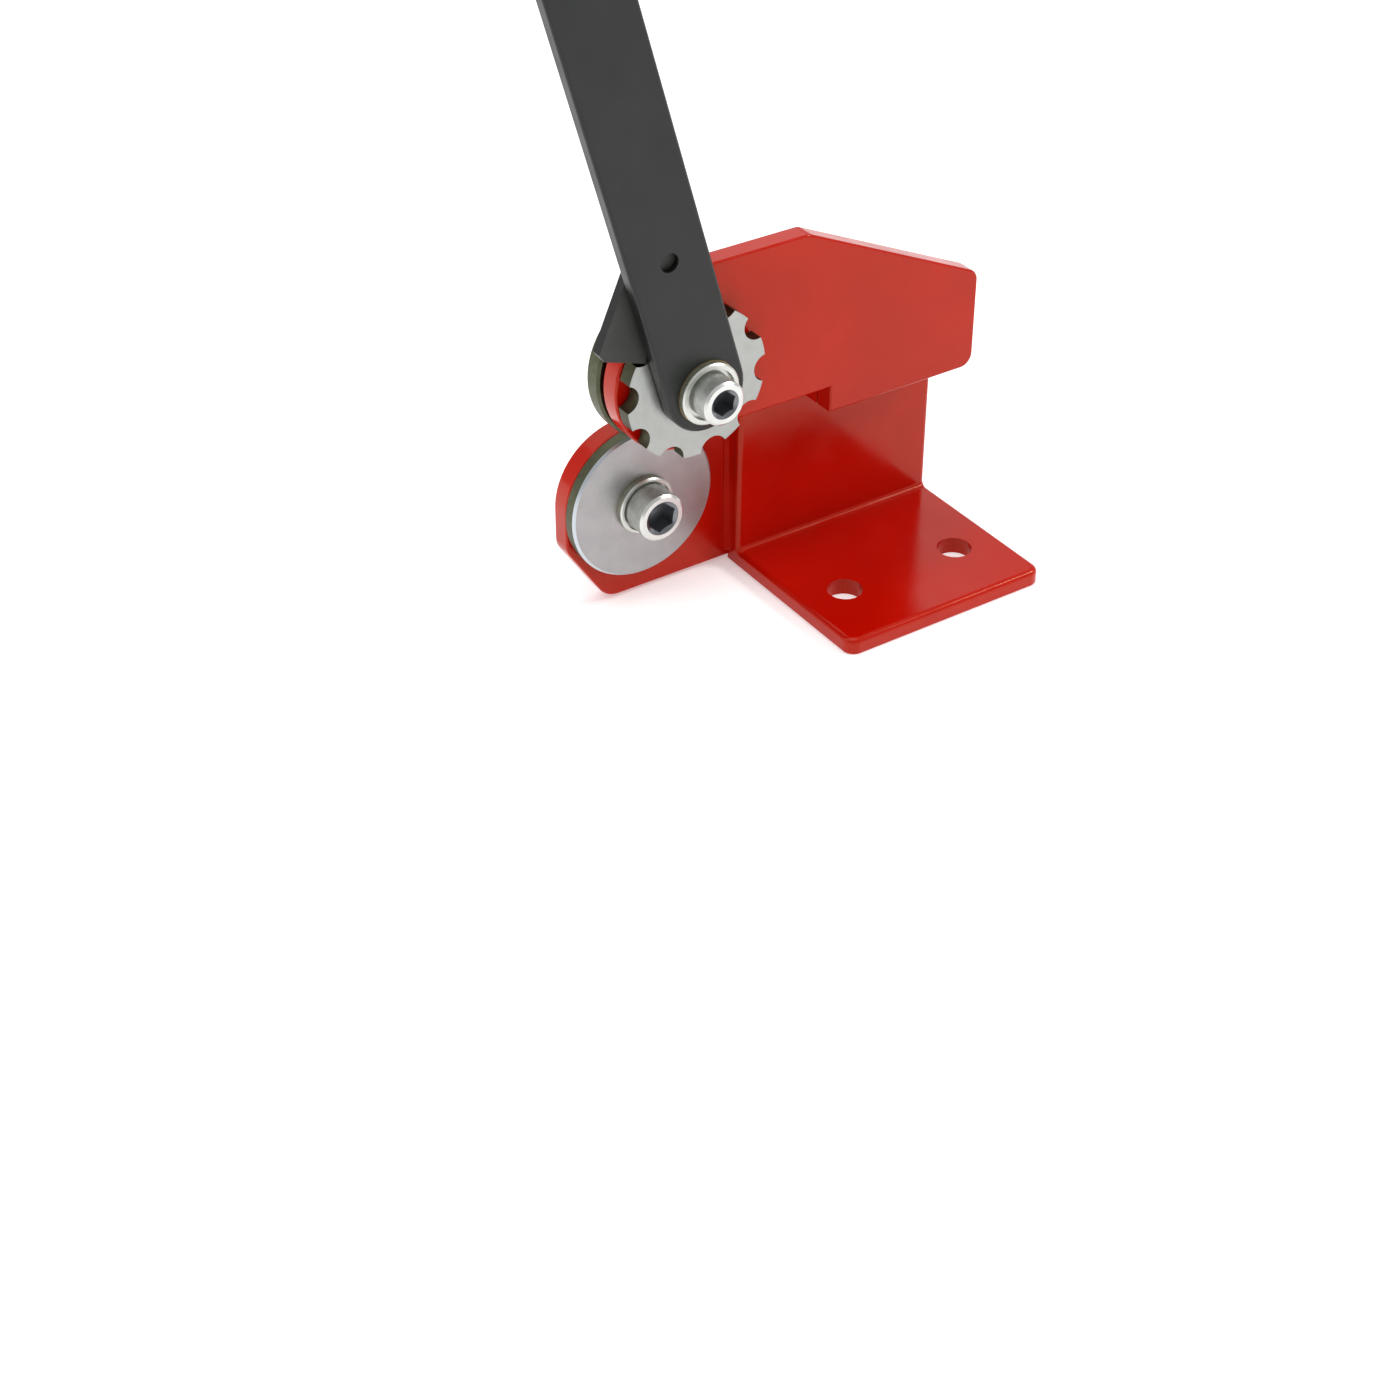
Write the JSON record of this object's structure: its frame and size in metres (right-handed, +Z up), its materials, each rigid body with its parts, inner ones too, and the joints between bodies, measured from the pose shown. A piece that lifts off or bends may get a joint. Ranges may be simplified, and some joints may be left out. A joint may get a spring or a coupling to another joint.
{
  "type": "hand lever rotary sheet shear",
  "caption": "Bench-mounted hand rotary shear for sheet metal: two overlapping cutter wheels on a welded frame, the upper one turned by a ratchet lever.",
  "frame": {"origin": "midway between the two foot holes, on the underside of the foot that rests on the bench", "axes": "+X along the frame, away from the wheels; +Y from the operator to the rear, across the cut; +Z up, the way the foot bolts point"},
  "size_m": [0.2625, 0.0977, 0.5177],
  "materials": {
    "red_enamel": "gloss red enamel over steel",
    "ground_steel": "finely ground tool steel",
    "zinc_plate": "zinc plated, with laser-cut sides",
    "bright_hardware": "bright zinc plate",
    "black_enamel": "satin black enamel",
    "black_oxide": "satin black oxide",
    "bronze": "turned bearing bronze",
    "grip_rubber": "moulded matt grip",
    "spring_steel": "drawn spring wire",
    "turned_steel": "turned steel"
  },
  "bodies": {
    "frame": {"angle_bracket": "red_enamel", "lower_arm_plate": "red_enamel", "spacer_block": "red_enamel", "upper_arm_plate": "red_enamel", "upper_frame_weld": "red_enamel", "spacer_weld": "red_enamel", "lower_frame_weld": "red_enamel", "seam_weld": "red_enamel", "shaft_bush": "bronze", "lower_bush": "bronze", "lower_thrust_washer": "bronze", "lower_collar": "bright_hardware", "lower_axle_screw": "bright_hardware", "lower_lock_nut": "bright_hardware"},
    "lower_wheel": {"lower_cutter_wheel": "ground_steel"},
    "drive": {"drive_shaft": "turned_steel", "upper_cutter_wheel": "ground_steel", "ratchet_wheel": "zinc_plate", "wheel_key": "turned_steel", "ratchet_key": "turned_steel", "rear_collar": "bright_hardware", "rear_cap_screw": "bright_hardware", "front_collar": "bright_hardware", "front_cap_screw": "bright_hardware"},
    "lever": {"lever_bar": "black_enamel", "lever_bush": "bronze", "lever_grip": "grip_rubber", "pawl_pivot_pin": "black_oxide", "pawl_retaining_ring": "black_oxide", "spring_stop_pin": "turned_steel", "pawl_spring": "spring_steel"},
    "pawl": {"pawl": "black_oxide"}
  },
  "joints": [
    {"name": "lever_swing", "type": "hinge", "parent": "frame", "child": "lever", "pos_m": [-0.077, 0, 0.0979], "axis": [0, -1, 0], "range_deg": [-40, 70]},
    {"name": "drive_spin", "type": "hinge", "parent": "frame", "child": "drive", "pos_m": [-0.077, 0, 0.0979], "axis": [0, -1, 0], "range_deg": [-40, 70]},
    {"name": "lower_wheel_spin", "type": "hinge", "parent": "frame", "child": "lower_wheel", "pos_m": [-0.0838, 0, 0.0412], "axis": [0, -1, 0], "continuous": true},
    {"name": "pawl_lift", "type": "hinge", "parent": "lever", "child": "pawl", "pos_m": [-0.09195, 0, 0.14937], "axis": [0, 1, 0], "range_deg": [0, 20], "stiffness_Nm_per_rad": 0.08, "springref_deg": -28.65, "deforming": ["pawl_spring"]}
  ],
  "couplings": [
    {"joint": "drive_spin", "follows": "lever_swing", "ratio": 1}
  ]
}
